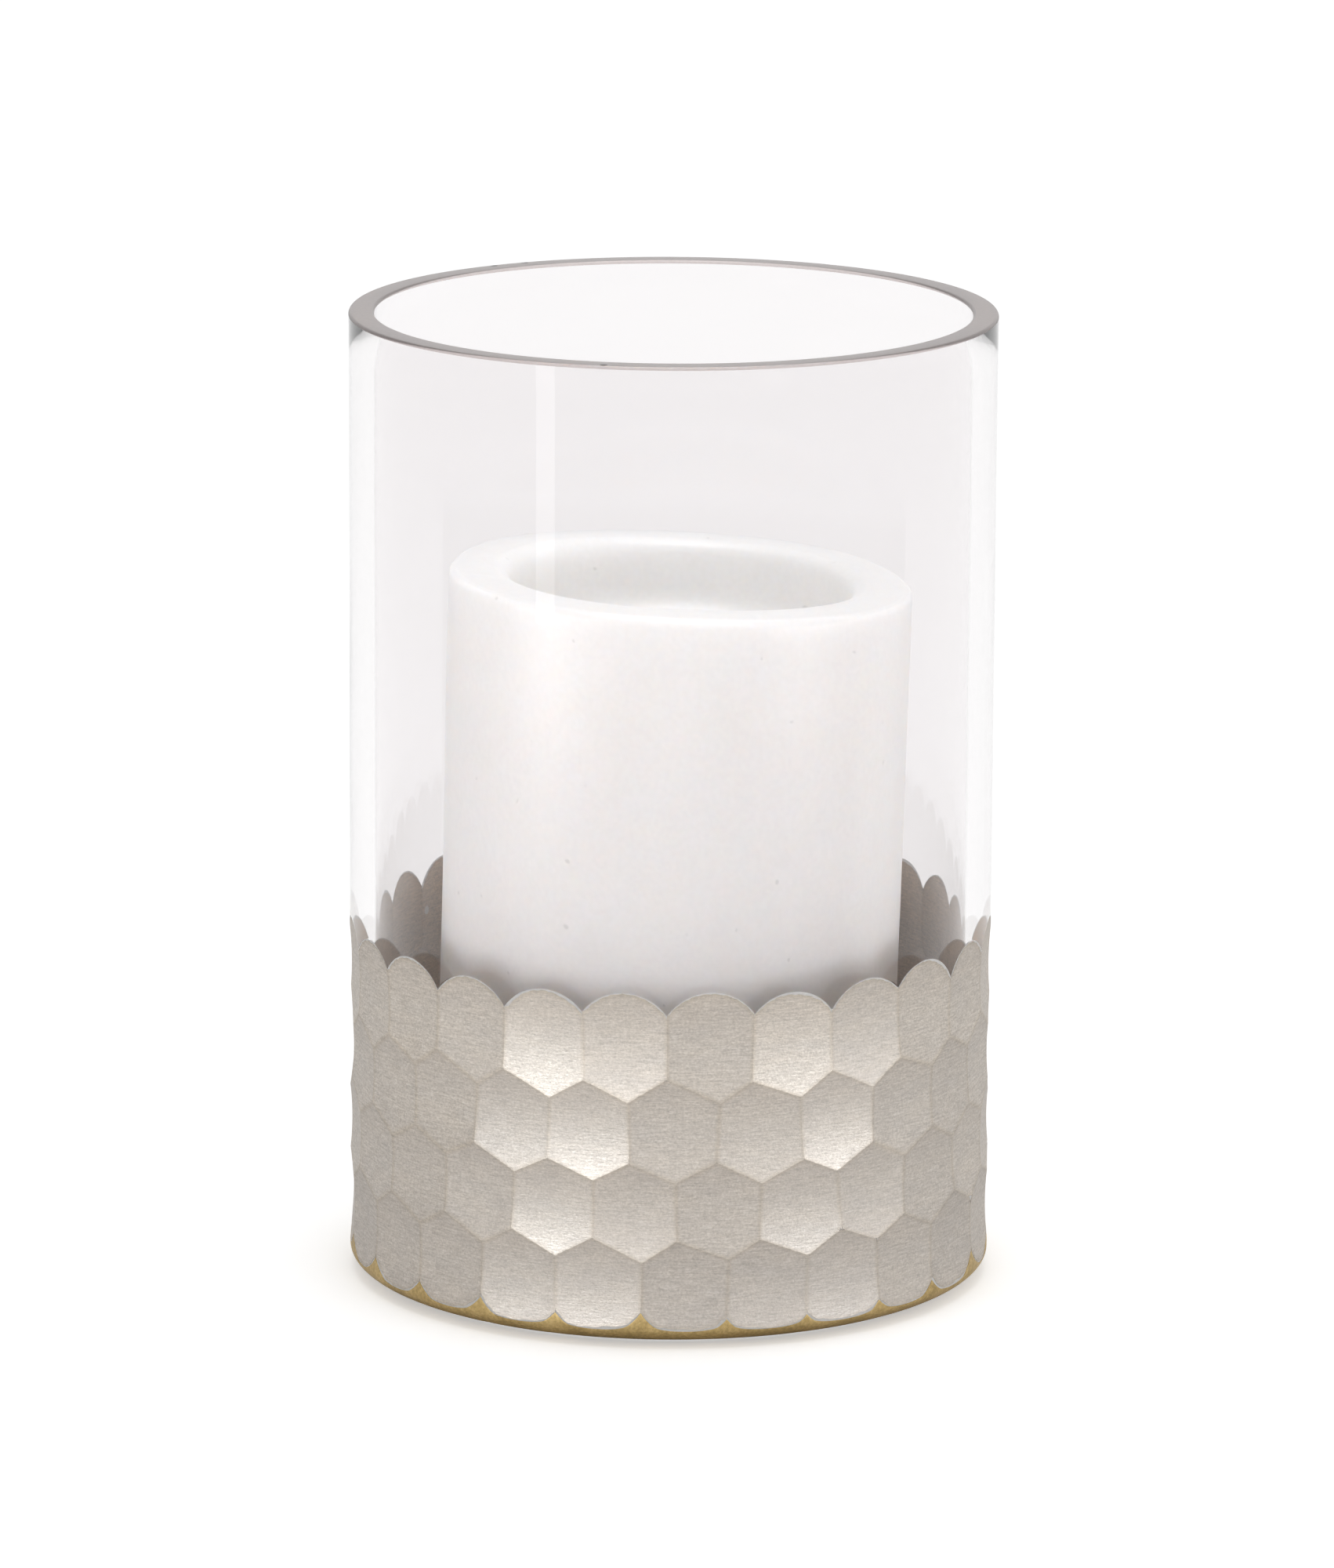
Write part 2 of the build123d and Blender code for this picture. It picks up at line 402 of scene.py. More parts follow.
def glass_mesh(materials):
    """The whole vessel as one closed skin, with its facets and its scalloped edge."""
    angle = scallop_columns(scallop_top, False, 20)
    top = scallop_top(angle)
    bottom = scallop_bottom(angle)
    rings = []

    def ring(radius, height):
        """One more ring of points, at a height or along a curve."""
        rings.append(polar_points(radius, angle, height))

    # under the base: the shallow hollow, its slope and the ring it stands on
    for radius in (3.0, 14.0, 26.0, PUNT_RADIUS - PUNT_SLOPE - 0.4):
        ring(radius, PUNT_DEPTH)
    ring(PUNT_RADIUS - PUNT_SLOPE + 0.4, PUNT_DEPTH - 0.25)
    ring(PUNT_RADIUS - 0.4, 0.25)
    for radius in (PUNT_RADIUS + 0.3, 42.0, FOOT):
        ring(radius, 0.0)
    # the heel, bare at first and then under the gold lacquer
    for turn in (deg(88), deg(82), deg(75)):
        ring(FOOT + HEEL_WIDTH * math.cos(turn), HEEL_HEIGHT * (1 - math.sin(turn)))
    for share in np.linspace(0.12, 1.0, 8):
        height = LACQUER_LOW + share * (bottom - LACQUER_LOW)
        ring(blank_radius(height) - COVER - 0.02, height)
    # the ground facets, under the film
    first_ground = len(rings)
    for share in np.linspace(0, 1, 46)[1:-1]:
        height = bottom + share * (top - 0.9 - bottom)
        ring(ground_radius(angle, height) - COVER, height)
    for below in (0.9, 0.6, 0.3, 0.04):
        height = top - below
        ring(ground_radius(angle, height) - COVER * min(1.0, below * 4), height)
    last_ground = len(rings)
    # the plain wall outside, and the rim
    ring(RADIUS, top)
    ring(RADIUS, top + 0.25)
    straight_top = HEIGHT - RIM_ROUND
    for share in np.linspace(0, 1, 22)[1:-1]:
        ring(RADIUS, top + 0.25 + share * (straight_top - top - 0.25))
    first_rim = len(rings)
    for radius, height in arc((RADIUS - RIM_ROUND, straight_top), RIM_ROUND, 0, 90, 9):
        ring(radius, height)
    for radius, height in arc((BORE + RIM_ROUND, straight_top), RIM_ROUND, 90, 180, 9):
        ring(radius, height)
    last_rim = len(rings)
    # the bore and the floor
    inner_low = FLOOR_TOP + INNER_CORNER
    for share in np.linspace(0, 1, 24)[1:-1]:
        ring(BORE, straight_top + share * (inner_low - straight_top))
    for radius, height in arc((BORE - INNER_CORNER, inner_low), INNER_CORNER, 0, -90, 9):
        ring(radius, height)
    for radius in (32.0, 20.0, 8.0):
        ring(radius, FLOOR_TOP)

    columns = len(angle)
    hubs = np.array([[0, 0, PUNT_DEPTH], [0, 0, FLOOR_TOP]])
    points = np.concatenate(rings + [hubs])
    faces = lathe_faces(len(rings), columns)
    faces += cap_faces(len(rings), columns)
    piece = make_piece(
        "glass_vessel", points, faces, materials, "hurricane", deg(28))
    # materials: 0 is clear glass, 1 ground glass and 2 the rim
    index = np.zeros(len(faces), dtype=np.int32)
    index[(first_ground - 1) * columns:last_ground * columns] = 1
    index[first_rim * columns:(last_rim - 1) * columns] = 2
    piece.data.polygons.foreach_set("material_index", index)
    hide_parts("glass_cylinder")
    return piece


# ---- gold lacquer ----
def heel_lacquer(material):
    """Thin ring of lacquer on the heel, up to the lowest scallops."""
    angle = scallop_columns(scallop_bottom, True, 20)
    top = scallop_bottom(angle)
    shares = np.concatenate([[0.0], np.linspace(0.04, 0.96, 9), [1.0]])
    rings = []
    for share in shares:
        height = LACQUER_LOW + share * (top - LACQUER_LOW)
        soft = 0.02 if share in (0.0, 1.0) else 0.0
        rings.append(polar_points(blank_radius(height) - soft, angle, height))
    for share in reversed(shares):
        height = LACQUER_LOW + share * (top - LACQUER_LOW)
        rings.append(polar_points(blank_radius(height) - FILM, angle, height))
    faces = lathe_faces(len(rings), len(angle), closed_rings=True)
    piece = make_piece(
        "heel_lacquer", np.concatenate(rings), faces, [material], "hurricane",
        deg(50))
    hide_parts("gold_heel_lacquer")
    return piece


def underside_lacquer(material):
    """Thin disc of lacquer in the hollow under the base."""
    low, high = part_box("gold_underside_lacquer")
    angle = np.arange(96) * TURN / 96
    edge = high[0] / MM
    bottom = low[2] / MM
    top = bottom + (high[2] - low[2]) / MM * 0.9    # just short of the glass
    outline = [(4.0, bottom), (14.0, bottom), (26.0, bottom), (edge - 0.3, bottom)]
    outline += [(edge, bottom + 0.05), (edge, top), (26.0, top), (4.0, top)]
    rings = [polar_points(radius, angle, height) for radius, height in outline]
    points = np.concatenate(rings + [np.array([[0, 0, bottom], [0, 0, top]])])
    faces = lathe_faces(len(rings), len(angle))
    faces += cap_faces(len(rings), len(angle))
    piece = make_piece(
        "underside_lacquer", points, faces, [material], "hurricane")
    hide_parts("gold_underside_lacquer")
    return piece


# ---- candle ----
def place_on_candle(points):
    """Upright candle coordinates to the leaning candle, level at its base."""
    points = np.array(points, dtype=float)
    share = np.clip(points[..., 2] / CANDLE_HEIGHT, 0, 1)
    slope = np.tan(-CANDLE_LEAN + share * (CANDLE_LEAN + CANDLE_TOP_TILT))
    points[..., 2] -= points[..., 0] * slope
    x = points[..., 0] * math.cos(CANDLE_LEAN) + points[..., 2] * math.sin(CANDLE_LEAN)
    z = points[..., 2] * math.cos(CANDLE_LEAN) - points[..., 0] * math.sin(CANDLE_LEAN)
    points[..., 0] = x + CANDLE_OFFSET
    points[..., 2] = z + FLOOR_TOP
    return points


def wax_outline():
    """Half section of the wax as (radius, height), from the wick hole's foot and round."""
    foot = 0.8
    edge = 1.3
    lip = 2.4
    recess = TAB_THICKNESS + 0.05
    pool_floor = CANDLE_HEIGHT - POOL_DEPTH
    under = [(WICK_HOLE, recess), (5.0, recess), (TAB_RADIUS + 0.1, recess)]
    under += [(TAB_RADIUS + 0.15, 0.0), (18.0, 0.0), (28.0, 0.0)]
    side = arc((CANDLE_RADIUS - foot, foot), foot, -90, 0, 6)
    side += [(CANDLE_RADIUS, h) for h in np.linspace(3.0, CANDLE_HEIGHT - edge - 1.5, 34)]
    side += arc((CANDLE_RADIUS - edge, CANDLE_HEIGHT - edge), edge, 0, 90, 8)
    top = [(r, CANDLE_HEIGHT) for r in np.linspace(CANDLE_RADIUS - 2.2, POOL_RADIUS + lip, 5)]
    top += arc((POOL_RADIUS + lip, CANDLE_HEIGHT - lip), lip, 90, 180, 9)[1:]
    pool = [(POOL_RADIUS, CANDLE_HEIGHT - lip - 1.0)]
    pool += arc((POOL_RADIUS - POOL_CORNER, pool_floor + POOL_CORNER), POOL_CORNER, 0, -90, 9)
    pool += [(r, pool_floor) for r in (17.0, 11.0, 6.0)]
    collar = [(3.2, pool_floor + 0.12), (1.9, pool_floor + 0.45), (1.3, pool_floor + 0.9)]
    hole = [(WICK_HOLE, pool_floor + 1.1), (WICK_HOLE, pool_floor - 2.0), (WICK_HOLE, 40.0)]
    return under + side + top + pool + collar + hole


def candle_wax(material):
    """Dished pillar with a rounded rim, a wick hole and a recess for the tab.

    Poured wax isn't quite round or level: the side swells, the rim crowns a little
    and its height wanders.
    """
    pool_edge = CANDLE_HEIGHT - POOL_DEPTH + 4
    angle = np.arange(144) * TURN / 144
    rings = []
    for radius, height in wax_outline():
        swell = 0.10 * np.sin(2 * angle + 0.05 * height) + 0.05 * np.sin(5 * angle - 0.11 * height)
        share = min(1.0, max(0.0, (radius - 12.0) / 20.0))
        crown = 0.25 * math.exp(-((radius - 31.5) / 3.0) ** 2) * (height > CANDLE_HEIGHT - 0.1)
        rise = 0.18 * np.sin(3 * angle + 1.0) * (height > pool_edge) * (radius < 36)
        points = polar_points(radius - share * (0.15 - swell), angle, height + crown + rise)
        rings.append(points)
    faces = lathe_faces(len(rings), len(angle), closed_rings=True)
    piece = make_piece(
        "pillar_wax", place_on_candle(np.concatenate(rings)), faces, [material], "candle",
        deg(60))
    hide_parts("candle_wax")
    return piece


def candle_wick(material):
    """Three cotton strands twisted together, with a little fray at the tip."""
    strands = 3
    strand_radius = 0.44
    lay_radius = 0.42
    lay_length = 7.0
    sides = 8
    top = CANDLE_HEIGHT - POOL_DEPTH + WICK_ABOVE_POOL
    height = np.arange(0.3, top - 0.3, 0.55)
    around = np.arange(sides) * TURN / sides
    points = []
    faces = []
    count = 0
    for strand in range(strands):
        twist = TURN * (height / lay_length + strand / strands)
        taper = np.clip((top - height) / 2.0, 0.55, 1.0)
        spread = lay_radius * (1 + 0.25 * np.clip(1 - (top - height) / 1.6, 0, 1))
        centre = np.stack([spread * np.cos(twist), spread * np.sin(twist), height], axis=-1)
        offset = np.stack([np.cos(around), np.sin(around), 0 * around], axis=-1)
        tube = centre[:, None, :] + offset[None, :, :] * (strand_radius * taper)[:, None, None]
        tip = centre[-1] + np.array([0, 0, 0.22])
        foot = centre[0] - np.array([0, 0, 0.1])
        points.append(np.concatenate([tube.reshape(-1, 3), [tip], [foot]]))
        rows = len(height)
        faces.extend(lathe_faces(rows, sides, first=count))
        tip_id = count + rows * sides
        for side in range(sides):
            after = (side + 1) % sides
            faces.append((tip_id - sides + side, tip_id - sides + after, tip_id))
            faces.append((count + after, count + side, tip_id + 1))
        count += rows * sides + 2
    piece = make_piece(
        "cotton_wick", place_on_candle(np.concatenate(points)), faces, [material], "candle",
        deg(60))
    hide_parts("candle_wick")
    return piece


def wick_tab(material):
    """Stamped tin tab with a turned-down edge, a swaged neck and a crimp."""
    outline = [(WICK_HOLE, 0.0), (3.0, 0.0), (TAB_RADIUS - 0.35, 0.0), (TAB_RADIUS, 0.15)]
    outline += [(TAB_RADIUS, 0.45), (TAB_RADIUS - 0.25, TAB_THICKNESS)]
    outline += [(6.4, TAB_THICKNESS), (6.0, 0.42), (5.4, 0.42), (5.0, TAB_THICKNESS)]
    outline += [(2.4, TAB_THICKNESS), (1.95, 0.8), (NECK_RADIUS, 1.3), (NECK_RADIUS, 2.7)]
    outline += [(1.72, 3.05), (1.5, NECK_HEIGHT), (1.2, NECK_HEIGHT), (WICK_HOLE, 3.0)]
    angle = np.arange(72) * TURN / 72
    rings = []
    for radius, height in outline:
        crimp = 0.14 * math.exp(-((height - 2.1) / 0.5) ** 2) * (radius > 1.6) * (radius < 2.0)
        squeeze = crimp * np.clip(np.cos(4 * angle), 0, 1)
        rings.append(polar_points(radius - squeeze, angle, height))
    faces = lathe_faces(len(rings), len(angle), closed_rings=True)
    points = np.concatenate(rings) + np.array([CANDLE_OFFSET, 0, FLOOR_TOP])
    piece = make_piece("tin_tab", points, faces, [material], "candle", deg(40))
    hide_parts("wick_sustainer")
    return piece


# ---- materials ----
def new_material(name):
    """A node material with an empty tree but for its output."""
    material = bpy.data.materials.new(name)
    material.use_nodes = True
    tree = material.node_tree
    tree.nodes.clear()
    output = tree.nodes.new("ShaderNodeOutputMaterial")
    return material, tree, output


def plug(tree, socket, value):
    """Give an input a plain value, or link another node's output to it."""
    if isinstance(value, bpy.types.NodeSocket):
        tree.links.new(value, socket)
    else:
        socket.default_value = value


def add(tree, kind, settings=None, **inputs):
    """A node with its settings and inputs; Base_Color names the input "Base Color"."""
    node = tree.nodes.new(kind)
    for key, value in (settings or {}).items():
        setattr(node, key, value)
    for key, value in inputs.items():
        plug(tree, node.inputs[key.replace("_", " ")], value)
    return node


def shade(tree, output, **inputs):
    """The principled shader with these inputs, as the material's surface."""
    shader = add(tree, "ShaderNodeBsdfPrincipled", **inputs)
    tree.links.new(shader.outputs["BSDF"], output.inputs["Surface"])


def maths(tree, operation, a, b):
    """One step of arithmetic; each of a and b is a socket or a number."""
    node = add(tree, "ShaderNodeMath", {"operation": operation})
    plug(tree, node.inputs[0], a)
    plug(tree, node.inputs[1], b)
    return node.outputs["Value"]


def share_of(tree, value, start, end, low=0.0, high=1.0):
    """The value's place between start and end, from low to high."""
    node = add(
        tree, "ShaderNodeMapRange", Value=value, From_Min=start, From_Max=end,
        To_Min=low, To_Max=high)
    return node.outputs["Result"]


def ramp(tree, factor, stops):
    """A colour ramp from (position, colour) stops."""
    node = tree.nodes.new("ShaderNodeValToRGB")
    elements = node.color_ramp.elements
    elements[0].position, elements[0].color = stops[0]
    elements[1].position, elements[1].color = stops[-1]
    for position, colour in stops[1:-1]:
        elements.new(position).color = colour
    tree.links.new(factor, node.inputs["Fac"])
    return node.outputs["Color"]


def grey(value):
    """A neutral colour."""
    return (value, value, value, 1.0)


def placed(tree, scale=(1, 1, 1)):
    """Object coordinates in metres, stretched by scale."""
    coords = add(tree, "ShaderNodeTexCoord")
    mapping = add(tree, "ShaderNodeMapping", Vector=coords.outputs["Object"], Scale=scale)
    return mapping.outputs["Vector"]


def round_the_glass(tree, stretch):
    """Coordinates round the glass and up it, stretched upwards so that marks circle it."""
    coords = add(tree, "ShaderNodeTexCoord")
    split = add(tree, "ShaderNodeSeparateXYZ", Vector=coords.outputs["Object"])
    angle = maths(tree, "ARCTAN2", split.outputs["X"], split.outputs["Y"])
    round_it = maths(tree, "MULTIPLY", angle, RADIUS * MM)
    up_it = maths(tree, "MULTIPLY", split.outputs["Z"], stretch)
    return add(tree, "ShaderNodeCombineXYZ", X=round_it, Y=up_it).outputs["Vector"]


def noise(tree, vector, scale, detail=3.0, roughness=0.55):
    """Cloudy noise from 0 to 1; scale is the number of clouds in a metre."""
    node = add(
        tree, "ShaderNodeTexNoise", Vector=vector, Scale=scale, Detail=detail,
        Roughness=roughness)
    return node.outputs["Fac"]


def mix_values(tree, a, b, share=0.5):
    """Mean of two values, with share of the second."""
    node = add(tree, "ShaderNodeMix", {"data_type": "FLOAT"}, Factor=share, A=a, B=b)
    return node.outputs["Result"]


# Where a Mix node keeps its colours among its sockets.
MIX_FIRST, MIX_SECOND, MIX_RESULT = 6, 7, 2


def mix_colours(tree, factor, a, b, blend="MIX"):
    """Two colours mixed; the factor and the colours are each a socket or a value."""
    node = add(
        tree, "ShaderNodeMix", {"data_type": "RGBA", "blend_type": blend}, Factor=factor)
    plug(tree, node.inputs[MIX_FIRST], a)
    plug(tree, node.inputs[MIX_SECOND], b)
    return node.outputs[MIX_RESULT]


def tinted(tree, colour, tint):
    """A colour multiplied by a tint."""
    return mix_colours(tree, 1.0, colour, tint, "MULTIPLY")


def spot(tree, radius, angle, height, size):
    """One inside a small round spot at a place on the glass, and zero outside it."""
    place = add(tree, "ShaderNodeTexCoord").outputs["Object"]
    gap = add(tree, "ShaderNodeVectorMath", {"operation": "DISTANCE"})
    tree.links.new(place, gap.inputs[0])
    gap.inputs[1].default_value = (polar_points(radius, angle, height) * MM).tolist()
    return share_of(tree, gap.outputs["Value"], (size + 0.1) * MM, (size - 0.1) * MM)


def bump(tree, height, strength, depth, normal=None):
    """A bumped normal; a height of 1 stands depth millimetres out."""
    node = add(
        tree, "ShaderNodeBump", Height=height, Strength=strength, Distance=depth * MM)
    if normal is not None:
        tree.links.new(normal, node.inputs["Normal"])
    return node.outputs["Normal"]


def clear_glass():
    """Clear glass with a faint mauve body and slight waviness, which lets light through."""
    material, tree, output = new_material("clear_glass")
    wave = noise(tree, placed(tree, (1, 1, 0.35)), 34.0, 2.0)
    normal = bump(tree, wave, 0.5, 0.05)
    glass = add(
        tree, "ShaderNodeBsdfPrincipled", Base_Color=(0.90, 0.885, 0.888, 1), Normal=normal,
        Roughness=0.0, IOR=1.5, Transmission_Weight=1.0)
    through = add(tree, "ShaderNodeBsdfTransparent", Color=(0.95, 0.94, 0.94, 1))
    path = add(tree, "ShaderNodeLightPath")
    mix = add(tree, "ShaderNodeMixShader", Fac=path.outputs["Is Shadow Ray"])
    tree.links.new(glass.outputs["BSDF"], mix.inputs[1])
    tree.links.new(through.outputs["BSDF"], mix.inputs[2])
    tree.links.new(mix.outputs["Shader"], output.inputs["Surface"])
    return material


def ground_glass():
    """Bare ground glass: pale and frosted, at the film's edges."""
    material, tree, output = new_material("ground_glass")
    grain = noise(tree, placed(tree), 2600.0, 2.0)
    normal = bump(tree, grain, 0.6, 0.02)
    colour = ramp(tree, grain, [(0.3, (0.86, 0.85, 0.83, 1)), (0.7, (0.97, 0.96, 0.95, 1))])
    shade(
        tree, output, Base_Color=colour, Normal=normal, Roughness=0.55, IOR=1.5,
        Transmission_Weight=0.15)
    return material


def rim_glass():
    """Flat ground rim: fine-ground clear glass with a mauve cast, darkened to grey-mauve as
    painted shade.
    """
    material, tree, output = new_material("rim_glass")
    grain = noise(tree, placed(tree), 1500.0, 2.0)
    # grey-mauve: the glass's mauve cast, darkened as painted shade for the rim's dark edge-on look
    colour = ramp(tree, grain, [(0.3, (0.66, 0.565, 0.545, 1)), (0.7, (0.72, 0.62, 0.60, 1))])
    for angle in RIM_SPECKS:
        seed = spot(tree, RADIUS - 0.9, angle, HEIGHT, 0.6)
        colour = mix_colours(tree, seed, colour, (0.05, 0.03, 0.03, 1))
    shade(
        tree, output, Base_Color=colour, Roughness=0.3, IOR=1.5, Transmission_Weight=0.62)
    return material


# How the film's colour changes: tanned along the ridges; painted shade in each
# facet, darker towards its top and lighter towards its bottom; and painted shade
# by row, darker in the lower rows, with a little random tone from facet to facet.
FILM_MARKS_AND_PAINTED_SHADE = [
    ("ridge", [(0.94, grey(1.0)), (1.0, (0.90, 0.865, 0.80, 1))]),
    # painted shade and highlight: each facet darker at its top, lighter at its bottom
    ("rise", [(0.15, grey(1.04)), (0.55, grey(1.0)), (0.95, (0.92, 0.90, 0.88, 1))]),
    # painted shade by row, darker in the lower rows, with random facet tone
    ("tone_and_shade", [(0.0, (0.86, 0.86, 0.87, 1)), (1.0, (1.08, 1.075, 1.06, 1))]),
]


def silver_film(name, tint):
    """Warm silver on ground glass: sandy grain, circling scratches and painted shade."""
    material, tree, output = new_material(name)
    scratch = noise(tree, round_the_glass(tree, 9.0), 330.0, 4.0, 0.7)
    fine = noise(tree, round_the_glass(tree, 5.0), 1400.0, 2.0, 0.6)
    sand = noise(tree, placed(tree), 2700.0, 2.0, 0.7)
    cloud = noise(tree, round_the_glass(tree, 2.6), 120.0, 4.0, 0.65)
    lines = mix_values(tree, scratch, fine, 0.4)
    grain = mix_values(tree, lines, sand, 0.32)
    colour = ramp(tree, grain, [
        (0.39, (0.29, 0.243, 0.195, 1)), (0.5, (0.462, 0.403, 0.337, 1)),
        (0.61, (0.64, 0.582, 0.515, 1))])
    patchy = ramp(tree, cloud, [(0.33, (0.88, 0.88, 0.89, 1)), (0.67, (1.0, 0.99, 0.975, 1))])
    colour = tinted(tree, colour, patchy)
    # the rise and tone ramps paint shade into the film's colour
    for mark, stops in FILM_MARKS_AND_PAINTED_SHADE:
        value = add(tree, "ShaderNodeAttribute", {"attribute_name": mark}).outputs["Fac"]
        if mark == "ridge":
            value = maths(tree, "ADD", value, maths(tree, "MULTIPLY", sand, 0.05))
        if mark == "rise":
            value = maths(tree, "ADD", maths(tree, "MULTIPLY", value, 0.5), 0.5)
        colour = tinted(tree, colour, ramp(tree, value, stops))
    colour = tinted(tree, colour, tint)
    bare = spot(tree, RADIUS - 0.5, *PINHOLE, 0.7)
    colour = mix_colours(tree, bare, colour, grey(0.9))
    roughness = share_of(tree, grain, 0.38, 0.62, 0.46, 0.28)
    normal = bump(tree, lines, 1.0, 0.03)
    normal = bump(tree, sand, 0.7, 0.03, normal)
    shade(
        tree, output, Base_Color=colour, Normal=normal, Roughness=roughness, Metallic=0.25,
        IOR=3.7)
    return material


def gold_lacquer():
    """Satin gold lacquer with a fine speckle."""
    material, tree, output = new_material("gold_lacquer")
    speck = noise(tree, placed(tree), 1900.0, 3.0, 0.65)
    cloud = noise(tree, placed(tree), 160.0, 2.0)
    mixed = mix_values(tree, speck, cloud, 0.35)
    colour = ramp(tree, mixed, [
        (0.36, (0.39, 0.28, 0.115, 1)), (0.5, (0.53, 0.385, 0.165, 1)),
        (0.62, (0.65, 0.49, 0.23, 1))])
    shade(
        tree, output, Base_Color=colour, Normal=bump(tree, speck, 0.35, 0.02), Roughness=0.42,
        Metallic=0.75)
    return material


def white_wax():
    """Poured white wax: soft translucence, faint mottling and a few specks."""
    material, tree, output = new_material("white_wax")
    mottle = noise(tree, placed(tree), 95.0, 4.0)
    speck = noise(tree, placed(tree), 420.0, 1.0)
    colour = ramp(tree, mottle, [
        (0.3, (0.92, 0.915, 0.905, 1)), (0.7, (0.95, 0.945, 0.935, 1))])
    grain = noise(tree, placed(tree), 1100.0, 2.0)
    grain = ramp(tree, grain, [(0.35, grey(0.97)), (0.65, grey(1.0))])
    colour = tinted(tree, colour, grain)
    dark = ramp(tree, speck, [(0.0, grey(0.8)), (0.215, grey(0.85)), (0.235, grey(1.0))])
    colour = tinted(tree, colour, dark)
    soft = noise(tree, placed(tree), 60.0, 3.0)
    shade(
        tree, output, Base_Color=colour, Normal=bump(tree, soft, 0.35, 0.25), Roughness=0.42,
        Subsurface_Weight=0.9, Subsurface_Radius=(1.0, 0.9, 0.8), Subsurface_Scale=11 * MM)
    return material


def cotton():
    """Waxed cotton, browned at the tip."""
    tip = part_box("candle_wick")[1][2]
    material, tree, output = new_material("cotton_wick")
    coords = add(tree, "ShaderNodeTexCoord")
    split = add(tree, "ShaderNodeSeparateXYZ", Vector=coords.outputs["Object"])
    burnt = share_of(tree, split.outputs["Z"], tip - 2.6 * MM, tip - 0.6 * MM)
    fibre = noise(tree, placed(tree, (1, 1, 0.3)), 3000.0, 3.0)
    pale = ramp(tree, fibre, [(0.3, (0.60, 0.54, 0.44, 1)), (0.7, (0.86, 0.82, 0.74, 1))])
    colour = mix_colours(tree, burnt, pale, (0.07, 0.055, 0.045, 1))
    shade(
        tree, output, Base_Color=colour, Normal=bump(tree, fibre, 0.8, 0.08), Roughness=0.85)
    return material


def tinned_steel():
    """Dull tin plate with drawing lines."""
    material, tree, output = new_material("tinned_steel")
    lines = noise(tree, placed(tree, (1, 8, 1)), 700.0, 3.0)
    colour = ramp(tree, lines, [(0.3, (0.42, 0.42, 0.42, 1)), (0.7, (0.66, 0.66, 0.67, 1))])
    shade(
        tree, output, Base_Color=colour, Normal=bump(tree, lines, 0.3, 0.02), Roughness=0.34,
        Metallic=1.0)
    return material


def pale_floor():
    """White table, lit a little from below where it is looked at, as a light table is."""
    material, tree, output = new_material("pale_floor")
    grain = noise(tree, placed(tree), 7.0, 2.0)
    colour = ramp(tree, grain, [(0.3, grey(0.86)), (0.7, grey(0.88))])
    path = add(tree, "ShaderNodeLightPath")
    seen = maths(
        tree, "MAXIMUM", path.outputs["Is Camera Ray"], path.outputs["Is Singular Ray"])
    shade(
        tree, output, Base_Color=colour, Roughness=0.9, Emission_Color=grey(1.0),
        Emission_Strength=maths(tree, "MULTIPLY", seen, TABLE_GLOW))
    return material


# ---- stage ----
# Soft studio light: how bright the walls are each way, the glow of the table, and
# the lamps' power in watts. The candle has lamps of its own, because it stands
# behind glass.
SKY = [("X", -1, 0.0), ("X", 1, 0.52), ("Y", -1, 0.58), ("Y", 1, 1.05), ("Z", 1, 0.62)]
TABLE_GLOW = 0.43
LEFT_POWER = 2.65
RIGHT_POWER = 1.9
OVERHEAD_POWER = 12.5
STRIP_POWER = 0.19
CANDLE_POWER = 0.185
CANDLE_SPREAD = deg(50)
CANDLE_TOP_POWER = 28.0


def add_floor():
    """A table top that reaches past every view."""
    half = 5.0
    mesh = bpy.data.meshes.new("studio_floor")
    corners = [(-half, -half, 0), (half, -half, 0), (half, half, 0), (-half, half, 0)]
    mesh.from_pydata(corners, [], [(0, 1, 2, 3)])
    mesh.materials.append(pale_floor())
    floor = bpy.data.objects.new("studio_floor", mesh)
    bpy.context.scene.collection.objects.link(floor)


def add_lamp(name, place, facing, size, power, lit, spread):
    """A soft rectangular lamp, which shines down before it is turned to face.

    With a list of lit pieces it lights those alone, as a flagged studio lamp does.
    A small spread is a grid on the lamp, which keeps its light level.
    """
    light = bpy.data.lights.new(name, "AREA")
    light.shape = "RECTANGLE"
    light.size, light.size_y = size
    light.energy = power
    light.spread = spread
    lamp = bpy.data.objects.new(name, light)
    lamp.location = place
    lamp.rotation_euler = facing
    lamp.visible_camera = False
    lamp.visible_transmission = False
    bpy.context.scene.collection.objects.link(lamp)
    if lit:
        receivers = bpy.data.collections.new(name + "_lights")
        for piece in lit:
            receivers.objects.link(piece)
        lamp.light_linking.receiver_collection = receivers


def add_panel(name, side, away, low, size, power, lit=(), spread=deg(180)):
    """A lamp that stands round the front, at an angle from -Y towards +X."""
    place = (away * math.sin(side), -away * math.cos(side), low + size[1] / 2)
    add_lamp(name, place, (math.pi / 2, 0, side), size, power, lit, spread)


def add_overhead(name, power, lit=()):
    """A lamp straight above."""
    add_lamp(name, (0, 0, 2.5), (0, 0, 0), (1.3, 1.3), power, lit, deg(180))


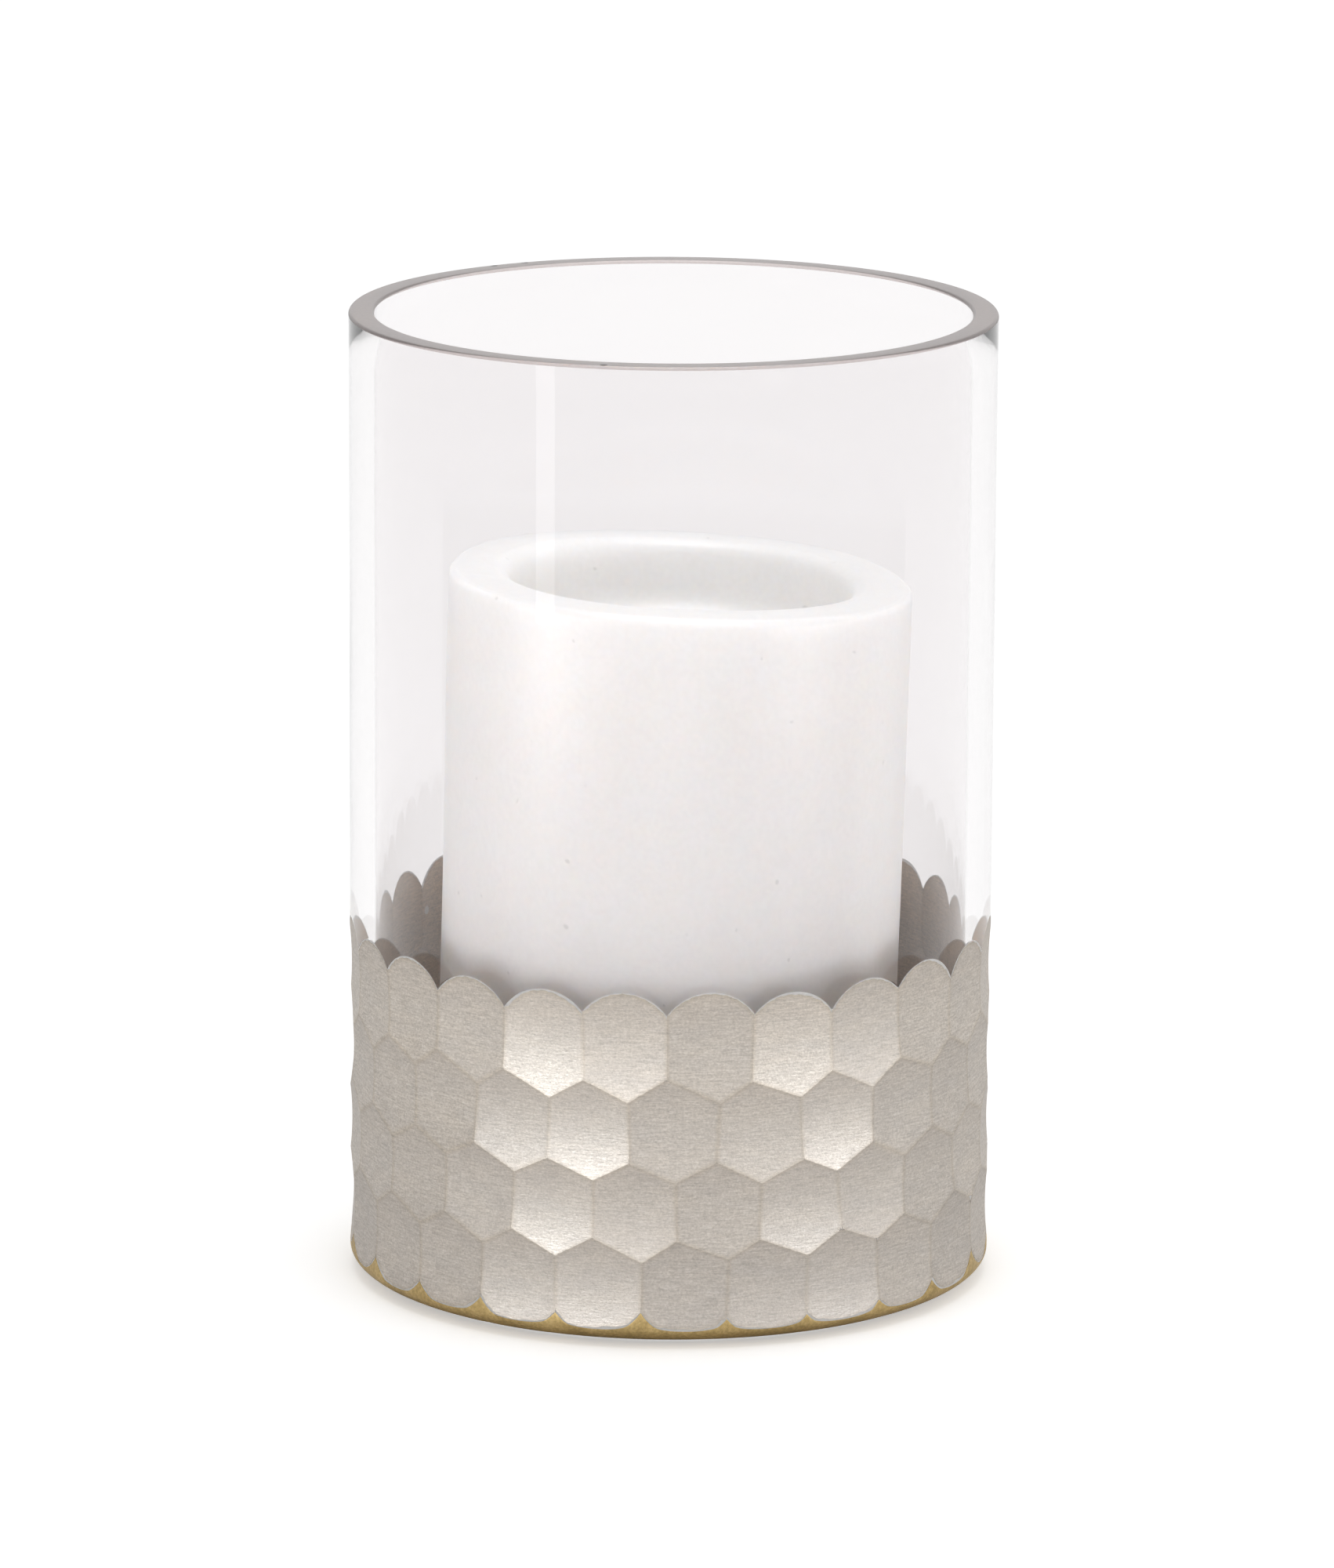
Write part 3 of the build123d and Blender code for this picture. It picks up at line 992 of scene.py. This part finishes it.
def add_world():
    """Walls and ceiling as a sky, with a soft lobe of light from each side."""
    world = bpy.data.worlds.new("studio")
    world.use_nodes = True
    tree = world.node_tree
    tree.nodes.clear()
    coords = add(tree, "ShaderNodeTexCoord")
    split = add(tree, "ShaderNodeSeparateXYZ", Vector=coords.outputs["Generated"])
    total = None
    for axis, sign, strength in SKY:
        toward = maths(tree, "MULTIPLY", split.outputs[axis], sign)
        toward = maths(tree, "MAXIMUM", toward, 0.0)
        lobe = maths(tree, "MULTIPLY", maths(tree, "POWER", toward, 2.0), strength)
        total = lobe if total is None else maths(tree, "ADD", total, lobe)
    sky = add(tree, "ShaderNodeBackground", Color=total, Strength=1.0)
    output = add(tree, "ShaderNodeOutputWorld")
    tree.links.new(sky.outputs["Background"], output.inputs["Surface"])
    bpy.context.scene.world = world


def add_camera():
    """Long lens from the front, looking a little down, with a slight roll."""
    camera = bpy.data.cameras.new("camera")
    camera.sensor_fit = "VERTICAL"
    camera.sensor_height = 36.0
    camera.lens = 211.6
    eye = bpy.data.objects.new("camera", camera)
    eye.location = (0.0, -1.420, 0.4002)
    pitch = deg(90 - 12.780)
    yaw = deg(0.026)
    roll = deg(0.311)
    turn = Matrix.Rotation(yaw, 4, "Z") @ Matrix.Rotation(pitch, 4, "X")
    turn = turn @ Matrix.Rotation(roll, 4, "Z")
    eye.rotation_euler = turn.to_euler()
    bpy.context.scene.collection.objects.link(eye)
    bpy.context.scene.camera = eye


# ---- the scene ----
glass_mesh([clear_glass(), ground_glass(), rim_glass()])
film_materials = [
    silver_film("silver_film", grey(1.0)), silver_film("film_inside", (1.45, 1.17, 0.88, 1))]
coats = [film_row(row, film_materials) for row in range(len(FACET_ROWS))]
gold_material = gold_lacquer()
coats.append(heel_lacquer(gold_material))
coats.append(underside_lacquer(gold_material))
candle = [candle_wax(white_wax()), candle_wick(cotton()), wick_tab(tinned_steel())]

add_floor()
add_world()
add_panel(
    "left_panel", side=deg(-36), away=0.55, low=0.01, size=(0.41, 0.60), power=LEFT_POWER,
    lit=coats)
add_panel(
    "right_panel", side=deg(54), away=0.55, low=0.01, size=(0.30, 0.60), power=RIGHT_POWER,
    lit=coats)
add_panel(
    "strip", side=deg(-43.6), away=0.59, low=0.0, size=(0.07, 0.60), power=STRIP_POWER)
for side in (deg(-64), deg(64)):
    add_panel(
        "candle_panel", side, away=0.40, low=0.06, size=(0.42, 0.07), power=CANDLE_POWER,
        lit=candle, spread=CANDLE_SPREAD)
add_overhead("overhead", OVERHEAD_POWER)
add_overhead("candle_top", CANDLE_TOP_POWER, candle)
add_camera()
bpy.context.scene.cycles.max_bounces = 24
bpy.context.scene.cycles.transmission_bounces = 24
bpy.context.scene.view_settings.view_transform = "Standard"
